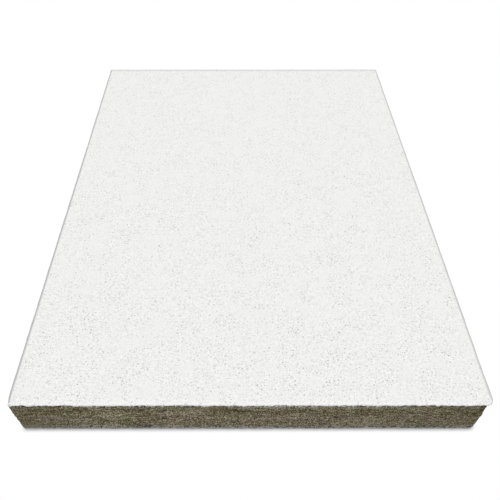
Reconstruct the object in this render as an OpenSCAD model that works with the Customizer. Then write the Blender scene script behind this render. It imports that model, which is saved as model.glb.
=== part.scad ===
// Stone-wool suspended ceiling tile, cut square on all four sides.
// A wool core is faced with a white painted fleece and backed with a thin grey fleece.
// Millimetres. The origin is the centre of the underside, +Y runs from the front cut side
// to the far one, and the painted face looks up along +Z.

/* [Tile] */
// Width over the left and right cut sides
tile_width = 152.4; // [60:0.1:610]
// Length over the front and far cut sides
tile_length = 203.2; // [60:0.1:1220]
// Thickness from the underside to the painted face
tile_thickness = 19.05; // [12:0.05:50]
// Radius of the three sound upright corners
corner_radius = 1.0; // [0.8:0.1:8]
// Radius of the worn upright corner at the front right
worn_corner_radius = 2.2; // [0.8:0.1:12]

/* [Face fleece] */
// Thickness of the face fleece with its paint
face_thickness = 0.8; // [0.5:0.05:0.95]
// Height of the fleece's upright cut side, below its rolled-over upper edge
face_land = 0.2; // [0.05:0.05:0.6]

/* [Back fleece] */
// Thickness of the back fleece with the glue that soaks the wool behind it
back_thickness = 1.2; // [0.3:0.05:2]

/* [Wool core] */
// Mean thickness of one lamina of wool
lamina_thickness = 2.2; // [1.6:0.1:5]
// Share of a lamina by which the parting lines wander up and down
lamina_wander = 0.25; // [0:0.05:0.3]
// Width of a parting line where it opens on a cut side
furrow_width = 0.7; // [0.3:0.05:0.9]
// Depth of the deepest parting line
furrow_depth = 0.4; // [0.1:0.05:0.7]
// Share of that depth which the shallowest parting line loses
furrow_fade = 0.6; // [0:0.05:0.8]

/* [Hidden] */
$fn = 64;

// Heights of the layers, and the roll that the paint makes over the fleece's edge
core_bottom = back_thickness;
core_top = tile_thickness - face_thickness;
core_thickness = core_top - core_bottom;
face_edge_radius = face_thickness - face_land;

// Upright corners, counter-clockwise from the far right one
corner_radii = [corner_radius, corner_radius, corner_radius, worn_corner_radius];

// Parting lines share the core out evenly, then wander by a turning angle
lamina_count = round(core_thickness / lamina_thickness);
lamina_pitch = core_thickness / lamina_count;
wander_turn = 137.5;
fade_turn = 71;

// How far a cutting shape reaches past the surface that it cuts
overcut = 0.5;

function parting_height(i) = core_bottom + lamina_pitch * (i + lamina_wander * sin(i * wander_turn));
function parting_depth(i) = furrow_depth * (1 - furrow_fade * (1 - cos(i * fade_turn)) / 2);

// Half sizes of the tile, across side i and along it. Side 0 is the right one.
function half_sizes(i) = (i % 2 == 0 ? [tile_width, tile_length] : [tile_length, tile_width]) / 2;

// What a square corner loses when it is rounded, drawn from the centre of the round
module rounding_waste(radius) {
    difference() {
        square(radius + overcut);
        circle(radius);
    }
}

// One layer of the tile, to the full outline with its four rounded corners
module layer(bottom, thickness) {
    translate([0, 0, bottom])
        linear_extrude(thickness)
            difference() {
                square([tile_width, tile_length], center = true);
                for (i = [0 : 3])
                    rotate(90 * i)
                        translate(half_sizes(i) - [corner_radii[i], corner_radii[i]])
                            rounding_waste(corner_radii[i]);
            }
}

// Carries a cut round the tile: along each side, then a quarter turn through the corner at
// its end. The cut's x is zero on the cut side and negative inside the tile, and its y is
// the height.
module carried_round() {
    for (i = [0 : 3]) {
        half = half_sizes(i);
        start_radius = corner_radii[(i + 3) % 4];
        end_radius = corner_radii[i];
        rotate(90 * i) {
            translate([half[0], half[1] - end_radius, 0])
                rotate([90, 0, 0])
                    linear_extrude(2 * half[1] - start_radius - end_radius)
                        children();
            translate([half[0] - end_radius, half[1] - end_radius, 0])
                rotate_extrude(angle = 90)
                    translate([end_radius, 0])
                        children();
        }
    }
}

// Section of the furrows where the laminae part on a cut side
module parting_lines() {
    mouth = furrow_width / 2;
    for (i = [1 : lamina_count - 1])
        translate([0, parting_height(i)])
            polygon([[overcut, -mouth], [0, -mouth], [-parting_depth(i), 0], [0, mouth], [overcut, mouth]]);
}

// Section of what the fleece's upper edge loses where the paint rolls over it
module rolled_edge() {
    translate([-face_edge_radius, core_top + face_land])
        rounding_waste(face_edge_radius);
}

module core_board() {
    color([0.39, 0.37, 0.30])
        difference() {
            layer(core_bottom, core_thickness);
            carried_round() parting_lines();
        }
}

module face_fleece() {
    color([0.94, 0.94, 0.93])
        difference() {
            layer(core_top, face_thickness);
            carried_round() rolled_edge();
        }
}

module back_fleece() {
    color([0.42, 0.42, 0.40])
        layer(0, back_thickness);
}

core_board();
face_fleece();
back_fleece();
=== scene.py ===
# %% [markdown]
# # A stone-wool ceiling tile
#
# A ceiling tile is a sandwich. A board of stone wool does the work of soaking up sound, a painted
# fleece covers the side that the room sees, and a grey fleece holds the back together. The tile
# here was cut square with a saw, so its four sides show the raw wool. The frame holds the three
# layers at their real size. This lesson gives each layer its true surface: pinholes in the paint,
# torn fibre on the sides and a felted back.

import bpy
import numpy as np
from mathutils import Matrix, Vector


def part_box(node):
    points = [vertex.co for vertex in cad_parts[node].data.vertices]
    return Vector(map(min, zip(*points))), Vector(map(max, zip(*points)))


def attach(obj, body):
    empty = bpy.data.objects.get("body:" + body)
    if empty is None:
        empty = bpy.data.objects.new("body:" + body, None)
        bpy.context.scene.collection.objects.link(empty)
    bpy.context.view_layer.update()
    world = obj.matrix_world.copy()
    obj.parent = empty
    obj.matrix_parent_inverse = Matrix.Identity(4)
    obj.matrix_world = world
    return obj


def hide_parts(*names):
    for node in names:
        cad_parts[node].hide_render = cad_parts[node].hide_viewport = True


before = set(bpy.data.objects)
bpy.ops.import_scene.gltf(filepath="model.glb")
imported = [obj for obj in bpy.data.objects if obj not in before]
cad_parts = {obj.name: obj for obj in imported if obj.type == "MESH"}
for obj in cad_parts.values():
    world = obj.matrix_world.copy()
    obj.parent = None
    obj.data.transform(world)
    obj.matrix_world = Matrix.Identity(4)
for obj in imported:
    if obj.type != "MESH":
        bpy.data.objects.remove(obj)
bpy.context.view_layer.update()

# %% [markdown]
# Blender counts in metres, but a tile maker thinks in millimetres, and so do the cells below. The
# frame gives the size and height of the layers, so nothing is measured twice.

# %% Size and heights of the layers, in millimetres
MM = 0.001
core_low, core_high = (np.array(corner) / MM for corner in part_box("core_board"))
half_width, half_length, core_top = core_high
core_bottom = core_low[2]
core_thickness = core_top - core_bottom
face_top = np.array(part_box("face_fleece")[1])[2] / MM
print("half sizes", half_width, half_length, "core from", core_bottom, "to", core_top, "face at", face_top)

# %% [markdown]
# ## The outline
#
# All three layers were cut by one saw, so they share one outline: a rectangle with small round
# corners, of which the front right one is worn more than the rest. It could be drawn as a curve
# object, but a formula is handier: given a distance along the edge it returns the point there and
# the direction that faces outwards, for whole arrays of distances at once.

# %% Sides and corners
SOUND_CORNER = 0.5
WORN_CORNER = 2.2
FRONT_RIGHT, FAR_RIGHT, FAR_LEFT, FRONT_LEFT = range(4)
corner_at_end = np.full(4, SOUND_CORNER)
corner_at_end[FRONT_RIGHT] = WORN_CORNER
corner_at_start = np.roll(corner_at_end, 1)
half_along = np.array([half_width, half_length, half_width, half_length])
half_across = np.roll(half_along, 1)
straight = 2 * half_along - corner_at_start - corner_at_end
side_length = straight + corner_at_end * np.pi / 2
side_start = np.cumsum(side_length) - side_length
girth = side_length.sum()
corner_middle = side_start + straight + corner_at_end * np.pi / 4
print("girth", round(girth, 1), "mm, corners at", np.round(corner_middle, 1))


# %% Outline of the tile
def along_side(distance):
    """Number of the side at each distance along the edge, and how far along that side it lies."""
    distance = np.mod(distance, girth)
    side = np.searchsorted(side_start, distance, side="right") - 1
    return side, distance - side_start[side]


def from_corner(distance, corner):
    """How far along the edge each distance is from the middle of a corner, the short way round."""
    return np.mod(distance - corner_middle[corner] + girth / 2, girth) - girth / 2


def outline(distance, inset=0.0):
    """Points and outward directions at distances along the edge, counter-clockwise from the front left.

    Each side is laid out as if it were the front one: a straight run, then a quarter circle at its end.
    A turn by its number of right angles then swings it to its own place. An inset gives the outline of
    a smaller tile inside, whose corners keep at least half of their radius.
    """
    side, run = along_side(distance)
    bend = np.maximum(run - straight[side], 0.0) / corner_at_end[side]
    start_radius = np.maximum(corner_at_start[side] - inset, corner_at_start[side] / 2)
    end_radius = np.maximum(corner_at_end[side] - inset, corner_at_end[side] / 2)
    first = start_radius + inset - half_along[side]
    last = half_along[side] - inset - end_radius
    x = first + np.minimum(run / straight[side], 1.0) * (last - first) + end_radius * np.sin(bend)
    y = inset - half_across[side] + end_radius * (1 - np.cos(bend))
    cosine = np.cos(side * np.pi / 2)
    sine = np.sin(side * np.pi / 2)
    point = np.stack([cosine * x - sine * y, sine * x + cosine * y], axis=-1)
    turn = bend - np.pi / 2 + side * np.pi / 2
    outward = np.stack([np.cos(turn), np.sin(turn)], axis=-1)
    return point, outward


# %% [markdown]
# ## Helpers for surfaces
#
# A few helpers do most of the building. The first put arrays of points and faces into a mesh and
# keep values on its points. The next carry a profile round the outline as a stack of rings, and
# lay faces between them. The last make clouds of smooth random values, which stand for anything
# uneven: wool, felt or paint. A Displace modifier could move the points too, but arrays show
# exactly what moves and by how much.

# %% Meshes from arrays
def mesh_piece(name, points, face_sets, smooth_up_to=180.0):
    """One mesh object from points in millimetres and arrays of faces, each array with one row for a face.

    Edges that fold by more than smooth_up_to degrees stay sharp.
    """
    corners = np.concatenate([faces.ravel() for faces in face_sets]).astype(np.int32)
    sizes = np.concatenate([np.full(len(faces), faces.shape[1]) for faces in face_sets])
    mesh = bpy.data.meshes.new(name)
    mesh.vertices.add(len(points))
    mesh.vertices.foreach_set("co", (points * MM).astype(np.float32).ravel())
    mesh.loops.add(len(corners))
    mesh.loops.foreach_set("vertex_index", corners)
    mesh.polygons.add(len(sizes))
    mesh.polygons.foreach_set("loop_start", (np.cumsum(sizes) - sizes).astype(np.int32))
    mesh.update(calc_edges=True)
    mesh.shade_smooth()
    if smooth_up_to < 180.0:
        mesh.set_sharp_from_angle(angle=np.radians(smooth_up_to))
    piece = bpy.data.objects.new(name, mesh)
    bpy.context.scene.collection.objects.link(piece)
    print(name, "has", len(points), "points and", int((sizes - 2).sum()), "triangles")
    return piece


def add_values(piece, name, values):
    """Keeps one number for each point of a piece, for its material to read by name."""
    layer = piece.data.attributes.new(name, "FLOAT", "POINT")
    layer.data.foreach_set("value", np.ascontiguousarray(values, dtype=np.float32).ravel())


def face_rows(*corners):
    """One row for each face, from an array of first corners, one of second corners, and so on."""
    return np.stack(np.broadcast_arrays(*corners), axis=-1).reshape(-1, len(corners))


# %% Profiles carried round the outline
def carried(distance, inset, height):
    """Rings round the tile: point i of ring j lies inset[j, i] inside the edge, at height[j, i].

    A ring that lies deeper than a corner's radius is held to a mitre there, so that it does not cross
    itself.
    """
    point, outward = outline(distance)
    room = np.array([half_width, half_length]) - inset[..., None]
    flat = np.clip(point - inset[..., None] * outward, -room, room)
    return np.concatenate([flat, height[..., None]], axis=-1)


def nested(distance, inset, height):
    """Rings as above, but each is an outline of its own, so no two of its points fall together."""
    return np.concatenate([outline(distance, inset)[0], height[..., None]], axis=-1)


def ring_strips(rings, count, first=0):
    """Four-sided faces between neighbouring rings of count points each, closed round the tile."""
    here = np.arange(count)
    ahead = np.roll(here, -1)
    low = first + count * np.arange(rings - 1)[:, None]
    high = low + count
    return face_rows(low + here, low + ahead, high + ahead, high + here)


def fan(first, count, centre, facing_up):
    """Three-sided faces from one ring to a point in its middle."""
    here = first + np.arange(count)
    ahead = np.roll(here, -1)
    edge = (here, ahead) if facing_up else (ahead, here)
    return face_rows(*edge, centre)


# %% Clouds of smooth random values
def cloud(shape, spacing, grain, seed):
    """Random values on a grid, smooth over the distance grain along each axis, with a spread of one.

    White noise is multiplied by a bell curve among its waves, which blurs it, and it joins up end to end.
    """
    noise = np.random.default_rng(seed).standard_normal(shape)
    down = np.fft.fftfreq(shape[0], spacing[0])[:, None] * grain[0]
    across = np.fft.fftfreq(shape[1], spacing[1])[None] * grain[1]
    blur = np.exp(-2 * np.pi ** 2 * (down ** 2 + across ** 2))
    field = np.fft.ifft2(np.fft.fft2(noise) * blur).real
    return (field - field.mean()) / field.std()


def cloud_along(lines, count, grain, seed):
    """Lines of random values right round the outline, each smooth along it and free of the others."""
    return cloud((lines, count), (1, girth / count), (0, grain), seed)


# %% [markdown]
# ## The sawn wool
#
# Stone wool is laid down in flat laminae, and a saw tears it more than it cuts it. So a cut side
# has shallow furrows where laminae part, ledges where one lamina stands proud of the next, tufts,
# and pits where a tuft has gone. The wool could be grown as hair, but a board this dense reads as
# a rough surface. It is made as a relief: a grid that runs round the tile and up its sides, pushed
# inwards by the sum of those shapes. The furrows keep the heights that they have in the solid.

# %% Grid of the cut sides
SIDE_STEP = 0.34
SIDE_ROWS = 42
side_count = round(girth / SIDE_STEP)
side_distance = np.arange(side_count) * girth / side_count
side_height = np.linspace(core_bottom, core_top, SIDE_ROWS)
side_spacing = (side_height[1] - side_height[0], girth / side_count)
print("cut sides of", side_count, "by", SIDE_ROWS, "points")


def print_depth(name, depth):
    """Tells how deep a relief is, on average and at most."""
    print(name, "mean", round(depth.mean(), 3), "mm, deepest", round(depth.max(), 3), "mm")


# %% Parting lines between the laminae
LAMINA = 2.2
LAMINA_WANDER = 0.25
WANDER_TURN = 137.5
FURROW_WIDTH = 0.7
FURROW_DEPTH = 0.4
FURROW_FADE = 0.6
FADE_TURN = 71
lamina_count = round(core_thickness / LAMINA)
parting = np.arange(1, lamina_count)
parting_wander = LAMINA_WANDER * np.sin(np.radians(parting * WANDER_TURN))
parting_height = core_bottom + core_thickness / lamina_count * (parting + parting_wander)
parting_depth = FURROW_DEPTH * (1 - FURROW_FADE * (1 - np.cos(np.radians(parting * FADE_TURN))) / 2)
print("parting lines at", np.round(parting_height, 2))

# %% Furrows
FURROW_SWAY = 0.22
SWAY_GRAIN = 5.0
OPENING_MEAN = 0.75
OPENING_SPREAD = 0.6
OPENING_MOST = 1.8
OPENING_GRAIN = 3.0


def furrow_relief():
    """Depth of the parting lines: a notch across each, which sways up and down and opens and closes."""
    sway = FURROW_SWAY * cloud_along(len(parting), side_count, SWAY_GRAIN, seed=1)
    opening = OPENING_MEAN + OPENING_SPREAD * cloud_along(len(parting), side_count, OPENING_GRAIN, seed=2)
    depth = parting_depth[:, None] * np.clip(opening, 0, OPENING_MOST)
    middle = parting_height[:, None] + sway
    off = np.abs(side_height[:, None] - middle[:, None, :])
    notch = np.clip(1 - off / (FURROW_WIDTH / 2), 0, 1)
    return (depth[:, None, :] * notch).max(axis=0)


furrows = furrow_relief()
print_depth("furrows", furrows)

# %% Ledges
LEDGE_MEAN = 0.1
LEDGE_SPREAD = 0.07
LEDGE_LIMIT = 1.4
LEDGE_GRAIN = 6.0


def ledge_relief():
    """Depth of the laminae: each stands at a depth of its own, which drifts along the side."""
    drift = cloud_along(lamina_count, side_count, LEDGE_GRAIN, seed=3)
    lamina = np.searchsorted(parting_height, side_height)
    return LEDGE_MEAN + LEDGE_SPREAD * np.clip(drift, -LEDGE_LIMIT, LEDGE_LIMIT)[lamina]


ledges = ledge_relief()
print_depth("ledges", ledges)

# %% Tufts, pits and single threads
TUFT_DEPTH = 0.08
TUFT_GRAIN = (0.3, 0.55)
PIT_DEPTH = 0.4
PIT_GRAIN = (0.32, 0.5)
PIT_FROM = 1.1
PIT_MOST = 1.6
THREAD_DEPTH = 0.07
THREAD_GRAIN = (0.16, 0.24)


def torn_relief():
    """Depth of tufts, of pits where a cloud passes a limit, and of single threads."""
    shape = (SIDE_ROWS, side_count)
    tufts = TUFT_DEPTH * cloud(shape, side_spacing, TUFT_GRAIN, seed=4)
    pits = PIT_DEPTH * np.clip(cloud(shape, side_spacing, PIT_GRAIN, seed=5) - PIT_FROM, 0, PIT_MOST)
    threads = THREAD_DEPTH * cloud(shape, side_spacing, THREAD_GRAIN, seed=6)
    return tufts + pits + threads


torn = torn_relief()
print_depth("torn wool", torn)

# %% [markdown]
# The top of the sides has lost more wool. Below the paint's edge the saw has pulled out pockets,
# deeper ones where the blade entered the front side. The front right corner is worn away, and at
# the front left one a knock has bent the top of the wool in, together with the paint above it.

# %% Pockets below the paint
POCKET_DEPTH = 0.32
POCKET_HEIGHT = 0.9
POCKET_MEAN = 0.45
POCKET_LIMITS = (0.1, 2.8)
SHORT_POCKETS = 0.9
SHORT_GRAIN = 0.5
LONG_POCKETS = 0.7
LONG_GRAIN = 2.5
BLADE_RUN = 22.0
ENTRY_DEPTH = 1.3
ENTRY_START = 1.5
ENTRY_OVER = 1.4


def pocket_relief():
    """Depth of pockets that die away downwards, with more of it for a run from the blade's entry."""
    short = SHORT_POCKETS * cloud_along(1, side_count, SHORT_GRAIN, seed=8)
    long = LONG_POCKETS * cloud_along(1, side_count, LONG_GRAIN, seed=9)
    pockets = np.clip(POCKET_MEAN + short + long, *POCKET_LIMITS)
    begun = np.clip(side_distance / ENTRY_START, 0, 1)
    entry = begun * np.clip(ENTRY_OVER - side_distance / BLADE_RUN, 0, 1)
    fade = POCKET_DEPTH * np.exp(-(core_top - side_height) / POCKET_HEIGHT)
    return fade[:, None] * (pockets + ENTRY_DEPTH * entry)


# %% Wear at the two front corners
WORN_DEPTH = 0.9
WORN_REACH = 2.4
WORN_POWER = 2
BEND_DEPTH = 0.5
BEND_REACH = 2.0
BEND_ROUND = 0.4
BEND_POWER = 6


def corner_relief():
    """Depth lost near the front corners, a bell curve along the edge and a power of the height.

    The bell at the left corner is narrow on the front side, because the knock came from the left.
    """
    up = ((side_height - core_bottom) / core_thickness)[:, None]
    near_right = np.exp(-((from_corner(side_distance, FRONT_RIGHT) / WORN_REACH) ** 2))
    off = from_corner(side_distance, FRONT_LEFT)
    near_left = np.exp(-((off / np.where(off < 0, BEND_REACH, BEND_ROUND)) ** 2))
    return WORN_DEPTH * up ** WORN_POWER * near_right + BEND_DEPTH * up ** BEND_POWER * near_left


worn = pocket_relief() + corner_relief()
print_depth("worn wool", worn)

# %% Whole relief of the cut sides
CALM_SHARE = 0.7
CALM_REACH = 2.5
LEAST_DEPTH = 0.02
DEEPEST = 0.85
DEEPEST_WORN = 1.7
WORN_SPAN = 6.0


def kept_share():
    """Share of the relief that is kept: less near the three sound corners, where the saw cut clean."""
    sound = np.array([FAR_RIGHT, FAR_LEFT, FRONT_LEFT])
    nearest = np.abs(from_corner(side_distance, sound[:, None])).min(axis=0)
    return 1 - CALM_SHARE * np.exp(-((nearest / CALM_REACH) ** 2))


beside_worn = np.abs(from_corner(side_distance, FRONT_RIGHT)) < WORN_SPAN
side_depth = kept_share() * (furrows + ledges + torn) + worn
side_depth = np.clip(side_depth, LEAST_DEPTH, np.where(beside_worn, DEEPEST_WORN, DEEPEST))
print_depth("whole relief", side_depth)

# %% [markdown]
# The wool is darker over a short run where each side begins and over a longer one where it ends.
# The board keeps that as a value on its points, beside the depth of the relief, for its finish to read.

# %% Core board
LATE_DARK_FROM = 0.6
LATE_DARK_STRENGTH = 0.75
EARLY_DARK_OVER = 1.3


def end_darkening_share():
    """How much darker the wool is: over a short run where a side begins, and a longer one where it ends."""
    side, run = along_side(side_distance)
    late_dark = np.clip((run / side_length[side] - LATE_DARK_FROM) / (1 - LATE_DARK_FROM), 0, 1)
    early_dark = np.clip(EARLY_DARK_OVER - run / BLADE_RUN, 0, 1)
    return np.maximum(LATE_DARK_STRENGTH * np.sqrt(late_dark), early_dark)


def make_core_board():
    """Rings up the cut sides, pushed in by the relief, closed by a fan at the bottom and one at the top."""
    height = np.repeat(side_height[:, None], side_count, axis=1)
    rings = carried(side_distance, side_depth, height).reshape(-1, 3)
    middles = np.array([[0.0, 0.0, core_bottom], [0.0, 0.0, core_top]])
    points = np.concatenate([rings, middles])
    last_ring = len(rings) - side_count
    faces = [
        ring_strips(SIDE_ROWS, side_count),
        fan(0, side_count, len(rings), facing_up=False),
        fan(last_ring, side_count, len(rings) + 1, facing_up=True),
    ]
    piece = mesh_piece("stone_wool_core", points, faces, smooth_up_to=75.0)
    add_values(piece, "hollow", np.concatenate([side_depth.ravel(), [0.0, 0.0]]))
    add_values(piece, "darker_ends", np.concatenate([np.tile(end_darkening_share(), SIDE_ROWS), [0.0, 0.0]]))
    return piece


core = make_core_board()
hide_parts("core_board")
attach(core, "root")

# %% [markdown]
# ## Loose strands
#
# The saw leaves short strands of wool lying on the cut sides, and they catch the light as pale
# flecks. Particle hair would give thousands of curves. Here each strand is a thin three-sided
# tube of about two dozen triangles, and all of them are worked out in one go and kept in one mesh.

# %% Thin tubes along many paths
TUBE_SIDES = 3
TUBE_TIP = 0.35


def tubes(name, path, lift, thickness, tone):
    """A three-sided tube along each path. At each point a small triangle is drawn across the path.

    The path runs along the second axis. The lift is the direction away from the surface, and it sets
    which way the triangle's corners point. The thickness swells from the two ends to the middle by half
    a turn of sine. The ends are closed, and each tube keeps its tone.
    """
    along = np.gradient(path, axis=1)
    along = along / np.linalg.norm(along, axis=2, keepdims=True)
    across = np.cross(along, lift)
    across = across / np.linalg.norm(across, axis=2, keepdims=True)
    up = np.cross(across, along)
    angle = np.pi / 2 + np.arange(TUBE_SIDES) * 2 * np.pi / TUBE_SIDES
    spoke = np.cos(angle)[:, None] * across[:, :, None] + np.sin(angle)[:, None] * up[:, :, None]
    strands, steps = path.shape[:2]
    radius = thickness * (TUBE_TIP + (1 - TUBE_TIP) * np.sin(np.linspace(0, np.pi, steps)))
    points = path[:, :, None] + radius[:, :, None, None] * spoke
    number = np.arange(strands * steps * TUBE_SIDES).reshape(strands, steps, TUBE_SIDES)
    near = number[:, :-1]
    far = number[:, 1:]
    walls = face_rows(near, far, np.roll(far, -1, axis=2), np.roll(near, -1, axis=2))
    ends = np.concatenate([number[:, 0], number[:, -1, ::-1]])
    piece = mesh_piece(name, points.reshape(-1, 3), [walls, ends])
    add_values(piece, "tone", np.repeat(tone, steps * TUBE_SIDES))
    return piece


# %% Places on the relief
STRAND_PROUD = 0.06
STRAND_INSET = 0.1


def on_cut_side(distance, level):
    """Places on the relief, half evened out along each strand, and the directions that face outwards."""
    column = np.round(distance / side_spacing[1]).astype(int) % side_count
    row = np.round((level - core_bottom) / side_spacing[0]).astype(int)
    depth = side_depth[row, column]
    evened = (depth + depth.mean(axis=1, keepdims=True)) / 2
    inset = np.maximum(evened - STRAND_PROUD, STRAND_INSET)
    point, outward = outline(distance)
    path = np.concatenate([point - inset[..., None] * outward, level[..., None]], axis=-1)
    lift = np.concatenate([outward, np.zeros_like(level)[..., None]], axis=-1)
    return path, lift


# %% Strands on the cut sides
STRANDS = 3600
STRAND_STEPS = 5
STRAND_FOOT = 0.6
STRAND_TOP = 0.5
STRAND_CLEAR = 0.2
LENGTH_LEAST = 0.35
LENGTH_SHAPE = 4.0
LENGTH_SCALE = 0.2
STRAND_SLOPE = 0.6
STRAND_CURL = 0.35
STRAND_THICKNESS = (0.05, 0.1)


def make_side_strands():
    """Strands at random places on the cut sides, most of them nearly level, each bowed by a parabola."""
    random = np.random.default_rng(seed=7)
    each = (STRANDS, 1)
    place = random.uniform(0, girth, each)
    height = random.uniform(core_bottom + STRAND_FOOT, core_top - STRAND_TOP, each)
    length = random.gamma(LENGTH_SHAPE, LENGTH_SCALE, each) + LENGTH_LEAST
    slope = random.normal(0, STRAND_SLOPE, each)
    curl = random.normal(0, STRAND_CURL, each)
    reach = np.linspace(-0.5, 0.5, STRAND_STEPS) * length
    bow = curl * (reach ** 2 - (length / 2) ** 2) / length
    level = height + reach * np.sin(slope) + bow
    level = np.clip(level, core_bottom + STRAND_CLEAR, core_top - STRAND_CLEAR)
    path, lift = on_cut_side(place + reach * np.cos(slope), level)
    thickness = random.uniform(*STRAND_THICKNESS, each)
    tone = random.uniform(0, 1, each)
    return tubes("loose_wool_strands", path, lift, thickness, tone)


side_strands = make_side_strands()
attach(side_strands, "root")

# %% [markdown]
# ## The painted face
#
# The face is a glass fleece sprayed with white paint. Tiny pinholes stay open in the paint so that
# sound can pass, and from a step away they look like a scatter of grey specks. A Boolean modifier
# could drill them, but a few thousand holes would take minutes. Instead the face is a grid of
# small cells, and about a quarter of the cells get a hole of their own, eight-sided and a little
# out of round, whose rim is stitched to the cell's four corners. The holes crowd in patches,
# because a spray never lands evenly.

# %% Grid of cells
CELL = 1.5
MARGIN = 1.9
CROWDING = 0.33
CROWD_GRAIN = 1.2
CROWD_LIMITS = (0.25, 1.9)
columns = round((2 * half_width - 2 * MARGIN) / CELL)
rows = round((2 * half_length - 2 * MARGIN) / CELL)
cell_x = np.linspace(MARGIN - half_width, half_width - MARGIN, columns + 1)
cell_y = np.linspace(MARGIN - half_length, half_length - MARGIN, rows + 1)
crossing = np.arange((rows + 1) * (columns + 1)).reshape(rows + 1, columns + 1)
cell_corners = face_rows(crossing[:-1, :-1], crossing[:-1, 1:], crossing[1:, 1:], crossing[1:, :-1])


def grid_points(height):
    """Crossing points of the grid, row by row, at the given heights."""
    x, y = np.meshgrid(cell_x, cell_y)
    return np.stack([x, y, height], axis=-1).reshape(-1, 3)


def grid_cloud(grain, seed):
    """A cloud of random values, one at each crossing point, smooth over grain both ways."""
    return cloud(crossing.shape, (CELL, CELL), (grain, grain), seed)


crowd = np.clip(1 + CROWDING * grid_cloud(CROWD_GRAIN, seed=24), *CROWD_LIMITS)
print(columns, "by", rows, "cells, pinholes crowd from", round(crowd.min(), 2), "to", round(crowd.max(), 2))

# %% Points of a pinhole
HOLE_SIDES = 8
HOLE_RADIUS = 0.115
HOLE_SPREAD = 0.3
HOLE_LIMITS = (0.06, 0.22)
HOLE_SQUASH = (0.65, 1.0)
HOLE_DROP = (1.2, 2.0)
RING_WIDTH = 0.72
RING_DROP = 0.75


def hole_points(middle, random):
    """For each middle a rim at the surface, a narrower ring below it and a point at the bottom.

    The rim is an ellipse of random size, turned by a random lean, and the drop goes with the size.
    """
    each = (len(middle), 1)
    size = np.clip(HOLE_RADIUS * np.exp(HOLE_SPREAD * random.standard_normal(each)), *HOLE_LIMITS)
    squash = random.uniform(*HOLE_SQUASH, each)
    lean = random.uniform(0, np.pi, each)
    angle = (np.arange(HOLE_SIDES) + 0.5) * 2 * np.pi / HOLE_SIDES
    u = size * np.cos(angle - lean)
    v = size * squash * np.sin(angle - lean)
    x = u * np.cos(lean) - v * np.sin(lean)
    y = u * np.sin(lean) + v * np.cos(lean)
    spread = np.stack([x, y, np.zeros_like(x)], axis=-1)
    drop = np.array([0.0, 0.0, 1.0]) * (size * random.uniform(*HOLE_DROP, each))
    rim = middle[:, None] + spread
    ring = middle[:, None] + RING_WIDTH * spread - RING_DROP * drop[:, None]
    bottom = middle[:, None] - drop[:, None]
    return np.concatenate([rim, ring, bottom], axis=1)


# %% Faces of a pinhole
def hole_faces(corners, number):
    """Four-sided and three-sided faces from the corners of the cells to the bottoms of their holes.

    Each side of a cell meets two points of the rim in a quad, and each corner of a cell meets the two
    nearest points of the rim in a triangle. Quads go down the walls, and triangles close the bottoms.
    """
    rim = number[:, :HOLE_SIDES].T
    ring = number[:, HOLE_SIDES:-1].T
    here = np.roll(corners.T, -1, axis=0)
    ahead = np.roll(corners.T, -2, axis=0)
    rim_ahead = np.roll(rim, -1, axis=0)
    ring_ahead = np.roll(ring, -1, axis=0)
    sides = face_rows(here, ahead, rim[::2], np.roll(rim, 1, axis=0)[::2])
    walls = face_rows(rim, rim_ahead, ring_ahead, ring)
    nooks = face_rows(rim[::2], ahead, rim[1::2])
    floors = face_rows(ring, ring_ahead, number[:, -1])
    return np.concatenate([sides, walls]), np.concatenate([nooks, floors])


# %% Cells with a pinhole
HOLE_SHARE = 0.24
HOLE_CLEAR = 0.32
HOLE_DARKNESS = (0.0, 0.9, 1.0)


def pinholes(grid):
    """Points, faces and darkness of the holes, in cells chosen at random, more of them where they crowd."""
    random = np.random.default_rng(seed=11)
    chosen = random.random(len(cell_corners)) < HOLE_SHARE * crowd.ravel()[cell_corners].mean(axis=1)
    corners = cell_corners[chosen]
    room = CELL / 2 - HOLE_CLEAR
    middle = grid[corners].mean(axis=1)
    middle[:, :2] += random.uniform(-room, room, (len(middle), 2))
    points = hole_points(middle, random)
    holes, steps = points.shape[:2]
    number = len(grid) + np.arange(holes * steps).reshape(holes, steps)
    darkness = np.tile(np.repeat(HOLE_DARKNESS, [HOLE_SIDES, HOLE_SIDES, 1]), holes)
    print("pinholes", holes)
    return points.reshape(-1, 3), [cell_corners[~chosen], *hole_faces(corners, number)], darkness


# %% [markdown]
# The border of the face needs finer points than its middle, because the paint rolls over the edge
# there and ends in a ragged lip. So rings run round the outline, with four points for each cell,
# and one row of triangles knits a ring to the coarse grid. The back fleece has such rings too.

# %% Border rings for the two fleeces
FINE = 4
RIM_INSET = 1.45
side_cells = np.array([columns, rows, columns, rows])
side_from = np.roll(corner_middle, 1) - np.array([girth, 0, 0, 0])
border_distance = np.concatenate(
    [
        np.linspace(start, end, FINE * cells, endpoint=False)
        for start, end, cells in zip(side_from, corner_middle, side_cells)
    ]
)
border_count = len(border_distance)
border_step = girth / border_count
grid_loop = np.concatenate([crossing[0, :-1], crossing[:-1, -1], crossing[-1, :0:-1], crossing[:0:-1, 0]])
print("border of", border_count, "points,", round(border_step, 2), "mm apart")


def knit(ring_first):
    """Triangles from a fine ring to the loop of the coarse grid inside it, facing up.

    The first half of a cell's fine steps meets the near point of the loop, and the second the far one.
    """
    near = grid_loop
    far = np.roll(grid_loop, -1)
    half = FINE // 2
    step = ring_first + (FINE * np.arange(len(grid_loop)) + np.arange(FINE + 1)[:, None]) % border_count
    first_half = face_rows(step[:half], step[1:half + 1], near)
    between = face_rows(step[half], far, near)
    second_half = face_rows(step[half:-1], step[half + 1:], far)
    return np.concatenate([first_half, between, second_half])
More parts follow.
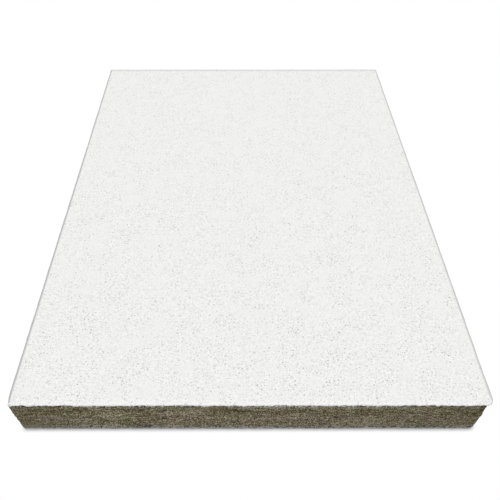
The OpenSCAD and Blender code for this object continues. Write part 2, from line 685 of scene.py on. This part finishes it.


# %% [markdown]
# On the front side the paint turns down in a tight roll. On the other three the roll is wider and
# the paint thinner, so the grey fleece shows along them. That grey also stands for painted shade on
# those rolls, less of it on the right and far ones, and in a band along the far edge. Below the roll
# the lip is torn: short notches, on a slow waver. The front left corner leans in, as the wool below
# it does.

# %% Width of the roll
FRONT_ROLL = 0.4
OTHER_ROLL = 1.15
FAR_ROLL_MORE = 0.25
border_outward = outline(border_distance)[1]
not_front = np.clip(1 + border_outward[:, 1], 0, 1)
far_side = np.clip(border_outward[:, 1], 0, 1)
right_side = np.clip(border_outward[:, 0], 0, 1)
roll_width = FRONT_ROLL + (OTHER_ROLL - FRONT_ROLL) * not_front + FAR_ROLL_MORE * far_side
print("paint rolls over", round(roll_width.min(), 2), "to", round(roll_width.max(), 2), "mm")

# %% Edge of the paint
FACE_LAND = 0.2
FACE_DIP = 0.02
ROLL_STEPS = 7
NOTCH_GRAIN = 0.35
WAVER_GRAIN = 2.5
LIP_DROP = 0.1
LIP_NOTCH = 0.17
LIP_WAVER = 0.06
LIP_LIMITS = (-0.45, 0.19)
EDGE_INSET = 0.05
EDGE_WAVER = 0.03
EDGE_LIMITS = (0, 0.14)


def edge_profile():
    """Insets and heights of the rings: one underneath, the lip, a quarter ellipse, and the rim on top."""
    notches = cloud_along(1, border_count, NOTCH_GRAIN, seed=22)[0]
    waver = cloud_along(1, border_count, WAVER_GRAIN, seed=23)[0]
    lip = np.clip(LIP_NOTCH * notches + LIP_WAVER * waver - LIP_DROP, *LIP_LIMITS)
    edge = np.clip(EDGE_INSET + EDGE_WAVER * (waver + notches), *EDGE_LIMITS)
    level = np.ones(border_count)
    roll = np.linspace(0, np.pi / 2, ROLL_STEPS)[:, None]
    over = edge * np.cos(roll) + roll_width * (1 - np.cos(roll))
    inset = np.vstack([RIM_INSET * level, edge, over, RIM_INSET * level])
    land_top = core_top + FACE_LAND
    rim_height = face_top - FACE_DIP
    rise = land_top + (rim_height - land_top) * np.sin(roll) * level
    height = np.vstack([core_top * level, core_top + lip, rise, rim_height * level])
    return inset, height


def edge_rings(inset, height):
    """Points of the rings, moved to the right near the front left corner, most at the edge."""
    rings = nested(border_distance, inset, height)
    bend = BEND_DEPTH * np.exp(-((from_corner(border_distance, FRONT_LEFT) / BEND_REACH) ** 2))
    rings[..., 0] += bend * (1 - inset / RIM_INSET)
    return rings.reshape(-1, 3)


# %% Where the paint is thin, and where grey paints shade on the edge
THIN_RISE = 1.5
THIN_REACH = 1.15
THIN_POWER = 0.3
RIGHT_LESS_GREY = 0.3
FAR_LESS_GREY = 0.15
FRONT_THIN = 0.2
FRONT_THIN_HEIGHT = 0.3
FAR_BAND_SHADE = 0.3
FAR_BAND = 3.2
FAR_FADE = 0.6


def thin_and_shade_on_rings(inset, height):
    """Share of grey on the rings, from fleece that shows through thin paint and from painted shade.

    It falls from the edge inwards, on all sides but the front. The right and far sides get less of it.
    On the front only the lip is thin.
    """
    bare_and_shaded_side = not_front ** THIN_POWER * (1 - RIGHT_LESS_GREY * right_side - FAR_LESS_GREY * far_side)
    on_roll = np.clip(THIN_RISE * (1 - inset / (THIN_REACH * roll_width)), 0, 1)
    on_lip = np.clip(1 - (height - core_top) / FRONT_THIN_HEIGHT, 0, 1)
    return on_roll * bare_and_shaded_side + FRONT_THIN * (1 - not_front) * on_lip


def shade_on_far_band(y):
    """Share of painted shade in a narrow band along the far edge, the same all along it."""
    return FAR_BAND_SHADE * np.clip((y - half_length + FAR_BAND) / FAR_FADE, 0, 1)


# %% Painted face fleece
SWELL = 0.012
SWELL_GRAIN = 3.0
DEEPEST_DIP = 0.05


def make_face_fleece():
    """Pinholed grid on top, the rings of the paint's edge round it, and a fan that closes the underside."""
    dip = FACE_DIP + SWELL * grid_cloud(SWELL_GRAIN, seed=21)
    grid = grid_points(face_top - np.clip(dip, 0, DEEPEST_DIP))
    holes, faces, darkness = pinholes(grid)
    inset, height = edge_profile()
    rings = edge_rings(inset, height)
    points = np.concatenate([grid, holes, rings, [[0.0, 0.0, core_top]]])
    ring_first = len(grid) + len(holes)
    faces += [
        ring_strips(len(inset), border_count, ring_first),
        knit(ring_first + len(rings) - border_count),
        fan(ring_first, border_count, len(points) - 1, facing_up=False),
    ]
    piece = mesh_piece("painted_face_fleece", points, faces, smooth_up_to=50.0)
    add_values(piece, "pinhole", np.concatenate([np.zeros(len(grid)), darkness, np.zeros(len(rings) + 1)]))
    # The grey of the edge: fleece through thin paint, and painted shade on the rolls and the far band.
    bare_and_shade = np.concatenate([np.zeros(ring_first), thin_and_shade_on_rings(inset, height).ravel(), [0.0]])
    add_values(piece, "bare_and_shade", np.maximum(bare_and_shade, shade_on_far_band(points[:, 1])))
    around = np.tile(np.repeat(crowd.ravel()[grid_loop], FINE), len(inset))
    add_values(piece, "crowd", np.concatenate([crowd.ravel(), np.ones(len(holes)), around, [1.0]]))
    return piece


face = make_face_fleece()
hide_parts("face_fleece")
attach(face, "root")

# %% [markdown]
# ## The back fleece
#
# The back is a felt of grey glass fibre, glued to the wool. In the photo it shows only as a thin
# grey line along the foot, but a part is seen from every side, so it gets a felted underside too:
# a gently uneven sheet, with long fibres lying on it in all directions. Nothing may reach below
# the surface that the tile lies on, so the sheet is hollowed upwards and the fibres fill the hollow.

# %% Grey back fleece
BACK_HOLLOW = 0.09
UNEVEN = 0.025
UNEVEN_LIMIT = 0.05
UNEVEN_GRAIN = 1.8
EDGE_HEIGHTS = (0.0, 0.03, 0.2, 0.45, 0.75, 1.0, 1.0)
EDGE_INSETS = (RIM_INSET, 0.30, 0.15, 0.12, 0.13, 0.16, RIM_INSET)
FUZZ_SPACING = 0.25
FUZZ_GRAIN = (0.15, 0.3)
FUZZ_INSET = 0.07
FUZZ_RISE = 0.05
FUZZ_LIMITS = (-0.02, 0.1)


def make_back_fleece():
    """Uneven underside, rings up a fuzzy cut edge, and a fan that closes the top, which the wool covers.

    The heights of the edge's profile are shares of the fleece's thickness.
    """
    uneven = UNEVEN * grid_cloud(UNEVEN_GRAIN, seed=31)
    grid = grid_points(BACK_HOLLOW + np.clip(uneven, -UNEVEN_LIMIT, UNEVEN_LIMIT))
    fuzz = cloud((len(EDGE_INSETS), border_count), (FUZZ_SPACING, border_step), FUZZ_GRAIN, seed=32)
    inset = np.repeat(np.array(EDGE_INSETS)[:, None], border_count, axis=1)
    inset[1:-1] += FUZZ_INSET * np.abs(fuzz[1:-1])
    height = np.repeat(core_bottom * np.array(EDGE_HEIGHTS)[:, None], border_count, axis=1)
    height[1:-2] += np.clip(FUZZ_RISE * fuzz[1:-2], *FUZZ_LIMITS)
    rings = nested(border_distance, inset, height).reshape(-1, 3)
    points = np.concatenate([grid, rings, [[0.0, 0.0, core_bottom]]])
    faces = [
        cell_corners[:, ::-1],
        ring_strips(len(inset), border_count, len(grid)),
        knit(len(grid))[:, ::-1],
        fan(len(points) - 1 - border_count, border_count, len(points) - 1, facing_up=True),
    ]
    return mesh_piece("grey_back_fleece", points, faces, smooth_up_to=60.0)


back = make_back_fleece()
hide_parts("back_fleece")
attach(back, "root")

# %% Fibres on the underside
BACK_FIBRES = 1600
FIBRE_STEPS = 6
FIBRE_MARGIN = 6
FIBRE_LENGTH = (3.0, 9.0)
FIBRE_BOW = 0.6
FIBRE_HEIGHT = 0.06
FIBRE_THICKNESS = (0.03, 0.055)


def make_back_fibres():
    """Fibres at random places and in all directions on the underside, each bowed by a parabola."""
    random = np.random.default_rng(seed=33)
    each = (BACK_FIBRES, 1)
    x = random.uniform(FIBRE_MARGIN - half_width, half_width - FIBRE_MARGIN, each)
    y = random.uniform(FIBRE_MARGIN - half_length, half_length - FIBRE_MARGIN, each)
    heading = random.uniform(0, np.pi, each)
    length = random.uniform(*FIBRE_LENGTH, each)
    bow = random.normal(0, FIBRE_BOW, each)
    reach = np.linspace(-0.5, 0.5, FIBRE_STEPS)
    run = length * reach
    aside = bow * (reach ** 2 - reach[0] ** 2)
    path_x = x + np.cos(heading) * run - np.sin(heading) * aside
    path_y = y + np.sin(heading) * run + np.cos(heading) * aside
    path = np.stack([path_x, path_y, np.full_like(path_x, FIBRE_HEIGHT)], axis=-1)
    lift = np.broadcast_to(np.array([0.0, 0.0, -1.0]), path.shape)
    thickness = random.uniform(*FIBRE_THICKNESS, each)
    tone = random.uniform(0, 1, each)
    return tubes("back_fleece_fibres", path, lift, thickness, tone)


back_fibres = make_back_fibres()
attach(back_fibres, "root")

# %% [markdown]
# ## Finishes
#
# A finish is a small graph of nodes that ends in one Principled shader. The two classes below keep
# the graphs short: they add a node, set or link its sockets by name and return what comes out.
# All patterns read Object coordinates, turned into millimetres, so that sizes are easy to judge.

# %% A short way to write node graphs
class Graph:
    """A tree of nodes, with helpers that add nodes to it."""

    def __init__(self, tree):
        self.nodes = tree.nodes
        self.links = tree.links

    def put(self, socket, value):
        """Links a socket to another node's output, or sets it to a plain value."""
        if isinstance(value, bpy.types.NodeSocket):
            self.links.new(value, socket)
        else:
            socket.default_value = value

    def add(self, kind, inputs, **settings):
        """A new node with the given settings, and with a value or a link put into each named input."""
        node = self.nodes.new(kind)
        for name, setting in settings.items():
            setattr(node, name, setting)
        for socket, value in inputs.items():
            self.put(node.inputs[socket], value)
        return node

    def math(self, operation, first, second):
        """Two values joined by plain arithmetic."""
        return self.add("ShaderNodeMath", {0: first, 1: second}, operation=operation).outputs["Value"]


# %% Finishes as graphs
class Finish(Graph):
    """A new material with one Principled shader, and helpers for patterns in millimetres."""

    def __init__(self, name, roughness, specular):
        self.material = bpy.data.materials.new(name)
        self.material.use_nodes = True
        super().__init__(self.material.node_tree)
        self.shader = self.nodes["Principled BSDF"]
        self.put(self.shader.inputs["Roughness"], roughness)
        self.put(self.shader.inputs["Specular IOR Level"], specular)
        place = self.nodes.new("ShaderNodeTexCoord").outputs["Object"]
        self.place = self.mapped(place, Scale=(1 / MM, 1 / MM, 1 / MM))

    def mapped(self, vector, **change):
        """Coordinates after a Scale or a Rotation."""
        return self.add("ShaderNodeMapping", {"Vector": vector, **change}).outputs["Vector"]

    def noise(self, scale, detail=2.0, roughness=0.5, vector=None):
        """Smooth noise from 0 to 1, with lumps of about one over the scale along each axis."""
        place = self.place if vector is None else vector
        inputs = {"Vector": self.mapped(place, Scale=scale), "Scale": 1.0}
        inputs.update({"Detail": detail, "Roughness": roughness})
        return self.add("ShaderNodeTexNoise", inputs).outputs["Fac"]

    def value(self, name):
        """The number that the piece keeps under this name at each point."""
        return self.add("ShaderNodeAttribute", {}, attribute_name=name).outputs["Fac"]

    def ramp(self, value, low, high, start=0.0, end=1.0, smooth=True):
        """A value carried from the span low to high onto the span start to end, and held at both ends."""
        inputs = dict(enumerate((value, low, high, start, end)))
        curve = "SMOOTHSTEP" if smooth else "LINEAR"
        return self.add("ShaderNodeMapRange", inputs, interpolation_type=curve).outputs["Result"]

    def total(self, *parts):
        """Sum of several values, each multiplied by its weight."""
        result = 0.0
        for weight, value in parts:
            inputs = {0: value, 1: weight, 2: result}
            result = self.add("ShaderNodeMath", inputs, operation="MULTIPLY_ADD").outputs["Value"]
        return result

    def mix(self, share, first, second):
        """The first colour where the share is 0 and the second where it is 1.

        The Mix node has its two colour inputs at places 6 and 7, and its colour output at place 2.
        """
        return self.add("ShaderNodeMix", {0: share, 6: first, 7: second}, data_type="RGBA").outputs[2]

    def bump(self, height, strength, depth):
        """Fine relief that is too small for the mesh, as deep as depth in millimetres."""
        inputs = {"Strength": strength, "Distance": depth * MM, "Height": height}
        self.put(self.shader.inputs["Normal"], self.add("ShaderNodeBump", inputs).outputs["Normal"])

    def colour(self, value):
        """Sets or links the colour of the finish."""
        self.put(self.shader.inputs["Base Color"], value)

    def cover(self, piece):
        """Gives the finish to a piece."""
        piece.data.materials.clear()
        piece.data.materials.append(self.material)
        print(self.material.name, "has", len(self.nodes), "nodes")


# %% [markdown]
# White paint on a fleece is matt and faintly stippled, and the stipple's dimples are painted a darker
# grey as shade. The large pinholes are in the mesh, and their walls turn from white to the grey of
# the wool behind. Smaller ones would cost too many faces, so Voronoi cells draw them as faint specks,
# made ragged by noise. Specks and stipple are stronger in the patches where the pinholes crowd, and
# bare grey fleece shows where paint is thin. The same grey paints shade onto the rolled edges of the
# left, right and far sides.

# %% Ragged specks
RAGGED_SCALE = 1.5
RAGGED_REACH = 0.5
SPECK_CORE = 0.45
SPECK_POWER = 1.2


def specks(finish, spacing, small, large):
    """Specks from 0 to 1, about one to each square of the spacing.

    Each Voronoi cell has a random colour. Its red picks the radius of the speck, from small to large, and
    a power of its green the depth. The coordinates are pushed about by noise, so no speck stays round.
    """
    lumps = finish.add("ShaderNodeTexNoise", {"Vector": finish.place, "Scale": RAGGED_SCALE / spacing})
    reach = RAGGED_REACH * spacing
    push = {0: lumps.outputs["Color"], 1: (reach, reach, 0), 2: finish.place}
    pushed = finish.add("ShaderNodeVectorMath", push, operation="MULTIPLY_ADD").outputs["Vector"]
    around = {"Vector": pushed, "Scale": 1 / spacing}
    cells = finish.add("ShaderNodeTexVoronoi", around, voronoi_dimensions="2D")
    split = finish.add("ShaderNodeSeparateColor", {"Color": cells.outputs["Color"]})
    radius = finish.ramp(split.outputs["Red"], 0.0, 1.0, small / spacing, large / spacing, smooth=False)
    far = finish.math("DIVIDE", cells.outputs["Distance"], radius)
    inside = finish.ramp(far, SPECK_CORE, 1.0, 1.0, 0.0)
    depth = finish.math("POWER", split.outputs["Green"], SPECK_POWER)
    return finish.math("MULTIPLY", inside, depth)


# %% Matt white paint with pinholes
PAINT_WHITE = (0.895, 0.895, 0.88, 1)
PAINT_DIMPLE_SHADE = (0.815, 0.815, 0.805, 1)
PINHOLE_GREY = (0.2, 0.195, 0.185, 1)
SPECK_GREY = (0.24, 0.24, 0.23, 1)
BARE_FLEECE_AND_SHADE = (0.45, 0.45, 0.455, 1)
STIPPLE_SCALE = (1.7, 1.7, 1.7)
STIPPLE_SPAN = (0.36, 0.62)
SPECK_STRENGTH = 0.47
BARE_FULL = 0.8
BARE_MOST = 0.85

paint = Finish("matt_white_paint", roughness=0.85, specular=0.25)
crowding = paint.value("crowd")
stipple = paint.noise(STIPPLE_SCALE, detail=0.5, roughness=0.6)
# Low stipple takes the darker grey: painted shade in the dimples.
dimple_shade = paint.math("MULTIPLY", paint.ramp(stipple, *STIPPLE_SPAN, -0.5, 0.5), crowding)
white = paint.mix(paint.math("ADD", dimple_shade, 0.5), PAINT_DIMPLE_SHADE, PAINT_WHITE)
large_specks = specks(paint, spacing=1.5, small=0.18, large=0.42)
small_specks = specks(paint, spacing=0.83, small=0.12, large=0.28)
faint = paint.math("MULTIPLY", paint.math("MAXIMUM", large_specks, small_specks), crowding)
speckled = paint.mix(paint.math("MULTIPLY", faint, SPECK_STRENGTH), white, SPECK_GREY)
# This value greys the edges: fleece through thin paint, and painted shade on the rolls and along the far
# edge.
grey_edge_share = paint.ramp(paint.value("bare_and_shade"), 0.0, BARE_FULL, 0.0, BARE_MOST)
edged = paint.mix(grey_edge_share, speckled, BARE_FLEECE_AND_SHADE)
paint.colour(paint.mix(paint.value("pinhole"), edged, PINHOLE_GREY))
paint.bump(stipple, strength=0.8, depth=0.2)
paint.cover(face)

# %% [markdown]
# Raw stone wool is olive brown, because the rock it is spun from holds iron. It drifts between
# olive, brown and a dusty purple over a centimetre, with more of the dusty tone at half height.
# Each of these drifts is one noise, and the dusty one is stretched level, as the wool lies.

# %% Hue of the wool
OLIVE = (0.194, 0.189, 0.092, 1)
BROWN = (0.232, 0.182, 0.101, 1)
DUSTY = (0.226, 0.174, 0.133, 1)
PATCH_SCALE = (0.13, 0.13, 0.13)
PATCH_SPAN = (0.35, 0.65)
DUST_SCALE = (0.16, 0.16, 0.3)
DUST_SPAN = (0.5, 0.72)
DUST_MORE = 0.15
DUST_RISES = (3.5, 7.0)
DUST_FALLS = (9.5, 13.0)

wool = Finish("raw_stone_wool", roughness=0.95, specular=0.1)


def wool_height(slope=0.0):
    """Height in millimetres above the underside, or above a plane that falls by slope to the right."""
    inputs = {0: wool.place, 1: (slope, 0, 1)}
    return wool.add("ShaderNodeVectorMath", inputs, operation="DOT_PRODUCT").outputs["Value"]


level = wool_height()
patch = wool.ramp(wool.noise(PATCH_SCALE), *PATCH_SPAN)
lower_half = wool.ramp(level, *DUST_RISES, 0.0, DUST_MORE)
upper_half = wool.ramp(level, *DUST_FALLS, DUST_MORE, 0.0)
half_height = wool.math("MINIMUM", lower_half, upper_half)
dust = wool.ramp(wool.math("ADD", wool.noise(DUST_SCALE), half_height), *DUST_SPAN)
hue = wool.mix(dust, wool.mix(patch, OLIVE, BROWN), DUSTY)
print("hue of the wool takes", len(wool.nodes), "nodes")

# %% [markdown]
# On that hue lies a salt and pepper of pale strands and dark gaps, and the gaps are painted shade.
# Noises for the grain, the strata and a slow drift are added up to one tone. The depth of the relief
# lowers it, which paints shade into the hollows, and so do two darker laminae, which sway and fall a
# little to the right. A low tone is a gap of painted shade, and a high one a strand.

# %% Two darker laminae
DRIFT_SCALE = (0.05, 0.05, 0.1)
LAMINA_SWAY = 1.2
LAMINA_SLOPE = 0.013
LAMINA_HALF = 1.5
LAMINA_CORE = 0.3
UPPER_LAMINA = 13.65
UPPER_WEIGHT = -0.085
LOWER_LAMINA = 5.8
LOWER_WEIGHT = -0.03

drift = wool.noise(DRIFT_SCALE, detail=1.0)
swayed = wool.total((1, wool_height(LAMINA_SLOPE)), (LAMINA_SWAY, drift))


def dark_lamina(middle):
    """Share from 0 to 1 and back to 0 across one lamina, whose height sways along the side."""
    swayed_middle = middle + LAMINA_SWAY / 2
    below = wool.ramp(swayed, swayed_middle - LAMINA_HALF, swayed_middle - LAMINA_CORE)
    above = wool.ramp(swayed, swayed_middle + LAMINA_CORE, swayed_middle + LAMINA_HALF, 1.0, 0.0)
    return wool.math("MULTIPLY", below, above)


laminae = wool.total((UPPER_WEIGHT, dark_lamina(UPPER_LAMINA)), (LOWER_WEIGHT, dark_lamina(LOWER_LAMINA)))
print("with the laminae", len(wool.nodes), "nodes")

# %% Strands and gaps in the wool
STRAW = (0.495, 0.455, 0.353, 1)
WOOL_SHADE = (0.044, 0.037, 0.011, 1)
GRAIN_SCALE = (3.6, 3.6, 2.0)
STRATA_SCALE = (0.2, 0.2, 2.0)
GRAIN_WEIGHT = 1.75
STRATA_WEIGHT = 0.55
DRIFT_WEIGHT = 0.4
HOLLOW_SHADE_WEIGHT = -0.35
GAP_TONE = 1.12
HUE_TONE = 1.34
STRAND_TONE = 1.57
GAP_MOST = 0.95
STRAND_MOST = 0.9

# The depth of the relief darkens the wool: painted shade in the hollows.
hollow = wool.value("hollow")
grain = wool.noise(GRAIN_SCALE, detail=1.0, roughness=0.6)
strata = wool.noise(STRATA_SCALE)
sunk = wool.total((1, laminae), (HOLLOW_SHADE_WEIGHT, hollow))
tone = wool.total((GRAIN_WEIGHT, grain), (STRATA_WEIGHT, strata), (DRIFT_WEIGHT, drift), (1, sunk))
# A low tone turns to the dark shade colour: painted shade in the gaps between strands.
gap_shade_share = wool.ramp(tone, GAP_TONE, HUE_TONE, GAP_MOST, 0.0, smooth=False)
strand_share = wool.ramp(tone, HUE_TONE, STRAND_TONE, 0.0, STRAND_MOST, smooth=False)
pitted = wool.mix(strand_share, wool.mix(gap_shade_share, hue, WOOL_SHADE), STRAW)
print("with strands and gaps", len(wool.nodes), "nodes")

# %% [markdown]
# Glue has soaked into the wool along the foot, and in places under the paint, and dried to grey
# flakes. The wool is darker near the ends of each side, and crumbs of paint cling below the painted
# edge.

# %% Glue in the wool
GLUE_DARK = (0.045, 0.046, 0.036, 1)
GLUE_PALE = (0.36, 0.36, 0.325, 1)
FLAKE_SCALE = (2.0, 2.0, 1.0)
FLAKE_SPAN = (0.32, 0.49)
FLAKE_HOLLOW_SHADE_WEIGHT = -0.6
SOAKED_FULL = 0.5
SOAKED_END = 2.9
SOAKED_MOST = 0.85
GLUE_START = 2.6
GLUE_FULL = 0.8
GLUE_MOST = 0.9
GLUE_PATCH_SCALE = (0.12, 0.12, 0.2)
GLUE_PATCH_SPAN = (0.36, 0.6)
GLUE_PATCH_LEAST = 0.25

flake = wool.noise(FLAKE_SCALE, detail=1.0)
# Deep relief makes the flakes darker: painted shade in the hollows.
flake_tone = wool.total((1, flake), (FLAKE_HOLLOW_SHADE_WEIGHT, hollow))
glued = wool.mix(wool.ramp(flake_tone, *FLAKE_SPAN), GLUE_DARK, GLUE_PALE)
soaked = wool.ramp(level, core_bottom + SOAKED_FULL, core_bottom + SOAKED_END, SOAKED_MOST, 0.0)
near_fleece = wool.ramp(level, core_top - GLUE_START, core_top - GLUE_FULL, 0.0, GLUE_MOST)
glue_patch = wool.ramp(wool.noise(GLUE_PATCH_SCALE), *GLUE_PATCH_SPAN, GLUE_PATCH_LEAST, 1.0)
under_fleece = wool.math("MULTIPLY", near_fleece, glue_patch)
greyed = wool.mix(wool.math("MAXIMUM", soaked, under_fleece), pitted, glued)
print("with the glue", len(wool.nodes), "nodes")

# %% Darker side ends and paint crumbs on the wool
PAINT_CRUMB = (0.55, 0.55, 0.52, 1)
END_DARKENING_STRENGTH = 0.37
CRUMB_START = 2.4
CRUMB_MORE = 0.32
CRUMB_SPAN = (0.76, 0.86)
CRUMB_MOST = 0.9

# Near the ends of each side the wool is made darker.
ends_darkened = wool.mix(wool.math("MULTIPLY", wool.value("darker_ends"), END_DARKENING_STRENGTH), greyed, WOOL_SHADE)
near_paint = wool.ramp(level, core_top - CRUMB_START, core_top, 0.0, CRUMB_MORE, smooth=False)
crumbs = wool.ramp(wool.math("ADD", flake, near_paint), *CRUMB_SPAN, 0.0, CRUMB_MOST)
wool.colour(wool.mix(crumbs, ends_darkened, PAINT_CRUMB))
wool.bump(grain, strength=1.0, depth=0.4)
wool.cover(core)

# %% [markdown]
# A single strand is one drawn thread of rock, paler than the board because nothing shades it. Each
# strand kept a random tone, and the tone picks its colour. The glass fibres on the back work in
# the same way, in grey.

# %% Pale strands and grey fibres
STRAND_DARK = (0.13, 0.12, 0.08, 1)
STRAND_PALE = (0.40, 0.37, 0.28, 1)
FIBRE_DARK = (0.22, 0.22, 0.21, 1)
FIBRE_PALE = (0.48, 0.48, 0.46, 1)

strand = Finish("pale_wool_strand", roughness=0.8, specular=0.2)
strand.colour(strand.mix(strand.value("tone"), STRAND_DARK, STRAND_PALE))
strand.cover(side_strands)

fibre = Finish("grey_glass_fibre", roughness=0.6, specular=0.4)
fibre.colour(fibre.mix(fibre.value("tone"), FIBRE_DARK, FIBRE_PALE))
fibre.cover(back_fibres)

# %% [markdown]
# The back fleece is felted glass: thin fibres cross in every direction. Three noises, each
# stretched along its own heading, look like crossing fibres once the brightest of them is kept.

# %% Grey felt
FELT_DARK = (0.06, 0.06, 0.056, 1)
FELT_PALE = (0.46, 0.46, 0.44, 1)
FELT_HEADINGS = (0, 55, 115)
FELT_SCALE = (0.25, 2.4, 2.4)
FELT_SPAN = (0.45, 0.72)

felt = Finish("grey_glass_felt", roughness=0.9, specular=0.2)
threads = [
    felt.noise(FELT_SCALE, detail=3.0, vector=felt.mapped(felt.place, Rotation=(0, 0, np.radians(heading))))
    for heading in FELT_HEADINGS
]
crossed = felt.math("MAXIMUM", felt.math("MAXIMUM", threads[0], threads[1]), threads[2])
felt.colour(felt.mix(felt.ramp(crossed, *FELT_SPAN), FELT_DARK, FELT_PALE))
felt.bump(crossed, strength=0.6, depth=0.15)
felt.cover(back)

# %% [markdown]
# ## Stage, light and camera
#
# The tile lies on white. The floor is a pale matt sheet for all the light that bounces off it, and
# plain white to the camera, apart from the tight shadow where the tile touches it. Ambient
# Occlusion finds that shadow, because here it looks little more than a millimetre round each point.

# %% Floor
FLOOR_HALF = 3000.0
FLOOR_DROP = 0.02


def make_floor():
    """One large square just below the underside."""
    corner = np.array([[-1, -1], [1, -1], [1, 1], [-1, 1]]) * FLOOR_HALF
    points = np.column_stack([corner, np.full(4, -FLOOR_DROP)])
    return mesh_piece("floor", points, [np.array([[0, 1, 2, 3]])])


floor = make_floor()

# %% White of the floor and its shadow
FLOOR_GREY = (0.6, 0.6, 0.6, 1)
SHADOW_REACH = 1.4
SHADOW_SAMPLES = 16
SHADOW_OPEN = 0.45
SHADOW_LEVEL = 0.38


def looked_at(graph, shown, bounced):
    """The shader shown where a ray looks straight, in a mirror or through glass, and the other elsewhere."""
    rays = graph.nodes.new("ShaderNodeLightPath").outputs
    looking = graph.math("MAXIMUM", rays["Is Camera Ray"], rays["Is Glossy Ray"])
    looking = graph.math("MAXIMUM", looking, rays["Is Transmission Ray"])
    return graph.add("ShaderNodeMixShader", {0: looking, 1: bounced, 2: shown}).outputs["Shader"]


sheet = Finish("white_floor", roughness=0.9, specular=0.0)
sheet.colour(FLOOR_GREY)
near = {"Distance": SHADOW_REACH * MM}
occlusion = sheet.add("ShaderNodeAmbientOcclusion", near, samples=SHADOW_SAMPLES)
shade = sheet.ramp(occlusion.outputs["AO"], SHADOW_OPEN, 1.0, SHADOW_LEVEL, 1.0, smooth=False)
glow = sheet.add("ShaderNodeEmission", {"Strength": shade}).outputs["Emission"]
surface = looked_at(sheet, glow, sheet.shader.outputs["BSDF"])
sheet.put(sheet.nodes["Material Output"].inputs["Surface"], surface)
sheet.cover(floor)

# %% [markdown]
# The light is one broad lamp above the front, a little to the right, over an even dome. It keeps
# the front roll of the paint bright. To the camera the dome is plain white, and the light that it
# sends onto the tile is half as strong.

# %% Dome
DOME_LEVEL = 0.5
WHITE = (1, 1, 1, 1)

world = bpy.data.worlds.new("studio")
bpy.context.scene.world = world
world.use_nodes = True
sky = Graph(world.node_tree)
dome = sky.nodes["Background"]
sky.put(dome.inputs["Color"], WHITE)
sky.put(dome.inputs["Strength"], DOME_LEVEL)
backdrop = sky.add("ShaderNodeBackground", {"Color": WHITE, "Strength": 1.0})
around = looked_at(sky, backdrop.outputs["Background"], dome.outputs["Background"])
sky.put(sky.nodes["World Output"].inputs["Surface"], around)
print("dome of", DOME_LEVEL)

# %% Broad lamp
LAMP_LEVEL = 1.87
LAMP_DIRECTION = (0.12, -0.42, 0.9)
LAMP_SPREAD = 25

lamp_data = bpy.data.lights.new("broad_lamp", "SUN")
lamp_data.energy = LAMP_LEVEL
lamp_data.angle = np.radians(LAMP_SPREAD)
lamp = bpy.data.objects.new("broad_lamp", lamp_data)
bpy.context.scene.collection.objects.link(lamp)
tilt_x = np.arctan2(-LAMP_DIRECTION[1], LAMP_DIRECTION[2])
tilt_y = np.arcsin(LAMP_DIRECTION[0] / np.linalg.norm(LAMP_DIRECTION))
lamp.rotation_euler = (tilt_x, tilt_y, 0)
print("lamp of", LAMP_LEVEL, "tilted by", np.round(np.degrees([tilt_x, tilt_y]), 1), "degrees")

# %% [markdown]
# The camera stands close to the front edge and looks down at it, which is why the far edge looks
# so much narrower. Its place comes from the four corners of the face in the photo.

# %% Camera
CAMERA_PLACE = (-4.66, -170.92, 169.72)
CAMERA_LENS = 36.789
CAMERA_SENSOR = 36.0
CAMERA_DOWN = 48.392
CAMERA_TURN = -0.037
CAMERA_SHIFT = (0.0287, -0.001)
CAMERA_NEAREST = 10
CAMERA_FARTHEST = 20000

camera_data = bpy.data.cameras.new("camera")
camera_data.lens = CAMERA_LENS
camera_data.sensor_width = CAMERA_SENSOR
camera_data.shift_x, camera_data.shift_y = CAMERA_SHIFT
camera_data.clip_start = CAMERA_NEAREST * MM
camera_data.clip_end = CAMERA_FARTHEST * MM
camera = bpy.data.objects.new("camera", camera_data)
camera.location = np.array(CAMERA_PLACE) * MM
camera.rotation_euler = (np.radians(90 - CAMERA_DOWN), 0, np.radians(CAMERA_TURN))
bpy.context.scene.collection.objects.link(camera)
bpy.context.scene.camera = camera
bpy.context.scene.view_settings.view_transform = "Standard"
print("camera", round(np.linalg.norm(CAMERA_PLACE)), "mm from the middle of the underside")
